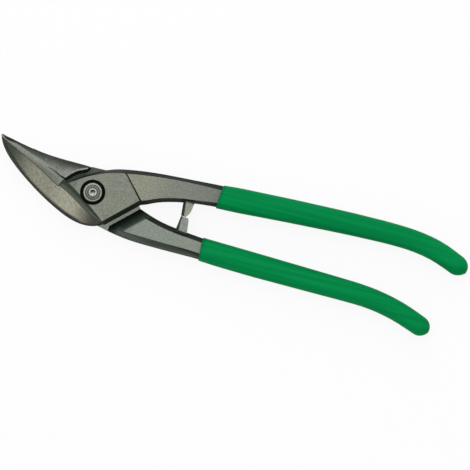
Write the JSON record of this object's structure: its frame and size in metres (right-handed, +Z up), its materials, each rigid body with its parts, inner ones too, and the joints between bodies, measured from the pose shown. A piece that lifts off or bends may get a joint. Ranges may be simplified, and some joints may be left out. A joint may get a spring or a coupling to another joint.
{
  "type": "tin snips",
  "caption": "Forged single-pivot offset tin snips: curved lapped blades, turned pivot bolt, stop lugs between the handles and dipped grips on long bowed handles.",
  "frame": {"origin": "on the pivot axis, on the flat end of the pivot bolt, in the plane that the tool lies on", "axes": "+X along the tool towards the handles, the points at -X; +Y towards the upper handle; +Z up the pivot axis towards the turned bolt head"},
  "size_m": [0.2789, 0.0629, 0.016],
  "materials": {
    "forged_steel": "blasted forging, blades ground across the edge",
    "turned_steel": "bright turned, fine rings",
    "spring_steel": "smooth oiled spring steel",
    "plated_steel": "bright zinc plate",
    "green_vinyl": "satin dipped vinyl"
  },
  "bodies": {
    "lower_assembly": {"lower_half": "forged_steel", "lower_grip": "green_vinyl"},
    "upper_assembly": {"upper_half": "forged_steel", "pivot_bolt": "turned_steel", "disc_spring": "spring_steel", "lock_nut": "plated_steel", "upper_grip": "green_vinyl"}
  },
  "joints": [
    {"name": "jaw_pivot", "type": "hinge", "parent": "lower_assembly", "child": "upper_assembly", "pos_m": [0, 0, 0.008], "axis": [0, 0, 1], "range_deg": [0, 34]}
  ]
}
